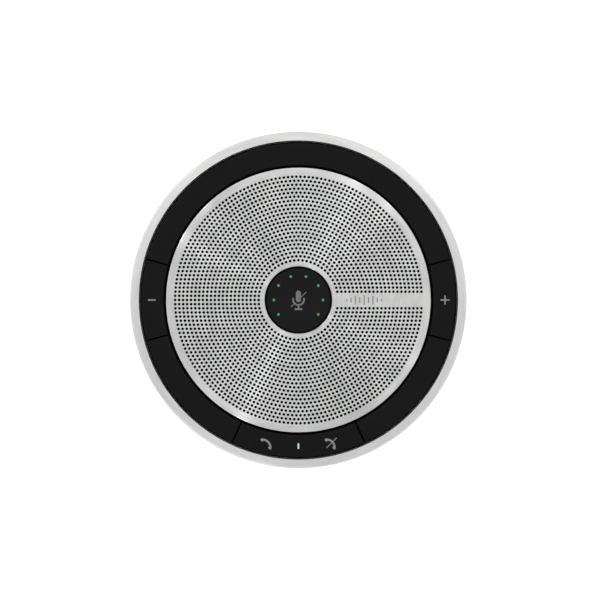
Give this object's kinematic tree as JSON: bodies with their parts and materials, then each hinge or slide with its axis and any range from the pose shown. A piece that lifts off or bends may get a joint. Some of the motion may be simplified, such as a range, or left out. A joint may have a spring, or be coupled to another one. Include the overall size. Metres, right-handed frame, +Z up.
{
  "type": "conference speakerphone",
  "caption": "Round desk speakerphone: perforated aluminium speaker grille, central mute button, black ring of volume and call keys, silver rim, grooved base.",
  "frame": {"origin": "centre of the foot ring's underside, on the surface that the object stands on", "axes": "+Z up; +X towards the volume-up key; -Y towards the user, where the call key is; +Y towards the lead outlet"},
  "size_m": [0.12, 0.12, 0.034],
  "materials": {
    "anodised_aluminium": "fine satin anodised",
    "brushed_aluminium": "circular brushed, anodised",
    "black_casing": "fine satin ABS",
    "black_key": "fine satin ABS",
    "dark_frame": "glass-filled ABS",
    "foot_silicone": "matte silicone",
    "dome_silicone": "matte silicone",
    "black_rubber": "matte",
    "acoustic_mesh": "fine woven polyester",
    "light_pipe": "clear acrylic",
    "circuit_board": "green solder mask",
    "components": "moulded epoxy",
    "zinc_screw": "zinc plated",
    "plated_steel": "zinc plated, pressed",
    "ferrite": "sintered ferrite",
    "copper_winding": "enamelled copper wire",
    "paper_cone": "pressed pulp",
    "damper_cloth": "resin treated cotton",
    "wire_cover": "PVC",
    "ribbon_film": "polyimide film",
    "mic_can": "nickel plated",
    "led_lens": "clear epoxy"
  },
  "bodies": {
    "housing": {"outer_shell": "anodised_aluminium", "base_ring": "black_casing", "lead_drum": "black_casing", "lead_grommet": "black_rubber", "base_plate": "black_casing", "foot_ring": "foot_silicone", "base_screws": "zinc_screw", "chassis": "dark_frame", "speaker_grille": "brushed_aluminium", "grille_cloth": "acoustic_mesh", "key_board": "circuit_board", "keypad_mat": "dome_silicone", "status_led": "led_lens", "level_leds": "led_lens", "mute_board": "circuit_board", "button_bridge": "dark_frame", "bridge_screws": "zinc_screw", "mute_dome": "dome_silicone", "call_domes": "dome_silicone", "speaker_basket": "plated_steel", "speaker_gasket": "black_rubber", "speaker_screws": "zinc_screw", "pole_plate": "plated_steel", "magnet_ring": "ferrite", "magnet_yoke": "plated_steel", "cone_surround": "black_rubber", "cone_damper": "damper_cloth", "main_board": "circuit_board", "main_board_parts": "components", "main_board_screws": "zinc_screw", "microphone_boots": "black_rubber", "microphones": "mic_can", "speaker_terminal": "circuit_board", "speaker_wires": "wire_cover", "microphone_wires": "wire_cover", "mute_ribbon": "ribbon_film", "key_ribbon": "ribbon_film", "rear_ring_cover": "black_key", "left_ring_cover": "black_key", "right_ring_cover": "black_key", "volume_up_dome": "dome_silicone", "volume_down_dome": "dome_silicone"},
    "mute_key": {"mute_button": "black_key", "level_light_pipes": "light_pipe"},
    "volume_up": {"volume_up_key": "black_key"},
    "volume_down": {"volume_down_key": "black_key"},
    "call_rocker": {"call_key": "black_key", "status_light_pipe": "light_pipe"},
    "speaker_motor": {"speaker_cone": "paper_cone", "dust_cap": "paper_cone", "voice_coil_former": "ribbon_film", "voice_coil": "copper_winding"}
  },
  "joints": [
    {"name": "mute_press", "type": "slide", "parent": "housing", "child": "mute_key", "axis": [0, 0, -1], "range_m": [0, 0.0008], "stiffness_N_per_m": 1800, "deforming": ["mute_dome"]},
    {"name": "volume_up_press", "type": "slide", "parent": "housing", "child": "volume_up", "axis": [0, 0, -1], "range_m": [0, 0.0008], "stiffness_N_per_m": 1800, "deforming": ["volume_up_dome"]},
    {"name": "volume_down_press", "type": "slide", "parent": "housing", "child": "volume_down", "axis": [0, 0, -1], "range_m": [0, 0.0008], "stiffness_N_per_m": 1800, "deforming": ["volume_down_dome"]},
    {"name": "call_rock", "type": "hinge", "parent": "housing", "child": "call_rocker", "pos_m": [0, -0.05203, 0.0302], "axis": [0, 1, 0], "range_deg": [-1.8, 1.8], "stiffness_Nm_per_rad": 0.5, "deforming": ["call_domes"]},
    {"name": "cone_travel", "type": "slide", "parent": "housing", "child": "speaker_motor", "axis": [0, 0, 1], "range_m": [-0.0008, 0.0008], "stiffness_N_per_m": 1500, "deforming": ["cone_surround", "cone_damper"]}
  ]
}
